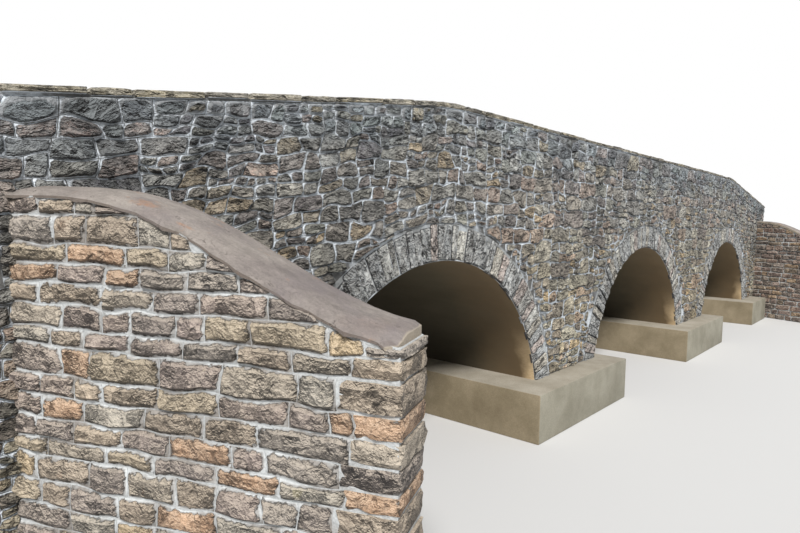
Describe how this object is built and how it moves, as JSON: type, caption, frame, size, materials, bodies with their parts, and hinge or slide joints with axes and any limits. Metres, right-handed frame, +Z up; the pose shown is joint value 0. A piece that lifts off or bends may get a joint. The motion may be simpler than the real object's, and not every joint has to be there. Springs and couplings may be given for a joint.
{
  "type": "stone arch bridge",
  "caption": "Low humped stone-faced arch bridge with solid parapets, flagstone copings, pier footings and four swept wing walls.",
  "frame": {"origin": "centre of the bridge in plan, on the stream bed under the footings", "axes": "+X along the bridge, +Y downstream through the arches, +Z up; the upstream face is at -Y"},
  "size_m": [31, 13.2084, 5.76],
  "materials": {
    "footing_concrete": "smooth board-marked concrete, buff to grey",
    "core_masonry": "rubble masonry in mortar",
    "barrel_concrete": "smooth damp concrete lining",
    "voussoir_stone": "rough pale grey stones on edge",
    "rubble_stone": "rough random rubble in pale mortar",
    "coping_stone": "thin irregular flagstones",
    "road_surface": "worn tarmac",
    "squared_stone": "squared coursed stone in thick lime mortar",
    "cap_mortar": "trowelled mortar cap"
  },
  "bodies": {
    "root": {"left_abutment_footing": "footing_concrete", "left_pier_footing": "footing_concrete", "right_pier_footing": "footing_concrete", "right_abutment_footing": "footing_concrete", "left_abutment": "core_masonry", "left_pier": "core_masonry", "right_pier": "core_masonry", "right_abutment": "core_masonry", "left_barrel": "barrel_concrete", "middle_barrel": "barrel_concrete", "right_barrel": "barrel_concrete", "left_ring_upstream": "voussoir_stone", "middle_ring_upstream": "voussoir_stone", "right_ring_upstream": "voussoir_stone", "left_ring_downstream": "voussoir_stone", "middle_ring_downstream": "voussoir_stone", "right_ring_downstream": "voussoir_stone", "left_end_wall_upstream": "rubble_stone", "left_pier_wall_upstream": "rubble_stone", "right_pier_wall_upstream": "rubble_stone", "right_end_wall_upstream": "rubble_stone", "left_end_wall_downstream": "rubble_stone", "left_pier_wall_downstream": "rubble_stone", "right_pier_wall_downstream": "rubble_stone", "right_end_wall_downstream": "rubble_stone", "parapet_upstream": "rubble_stone", "parapet_downstream": "rubble_stone", "coping_upstream": "coping_stone", "coping_downstream": "coping_stone", "road": "road_surface", "left_wing_upstream": "squared_stone", "right_wing_upstream": "squared_stone", "left_wing_downstream": "squared_stone", "right_wing_downstream": "squared_stone", "left_wing_cap_upstream": "cap_mortar", "right_wing_cap_upstream": "cap_mortar", "left_wing_cap_downstream": "cap_mortar", "right_wing_cap_downstream": "cap_mortar"}
  },
  "joints": []
}
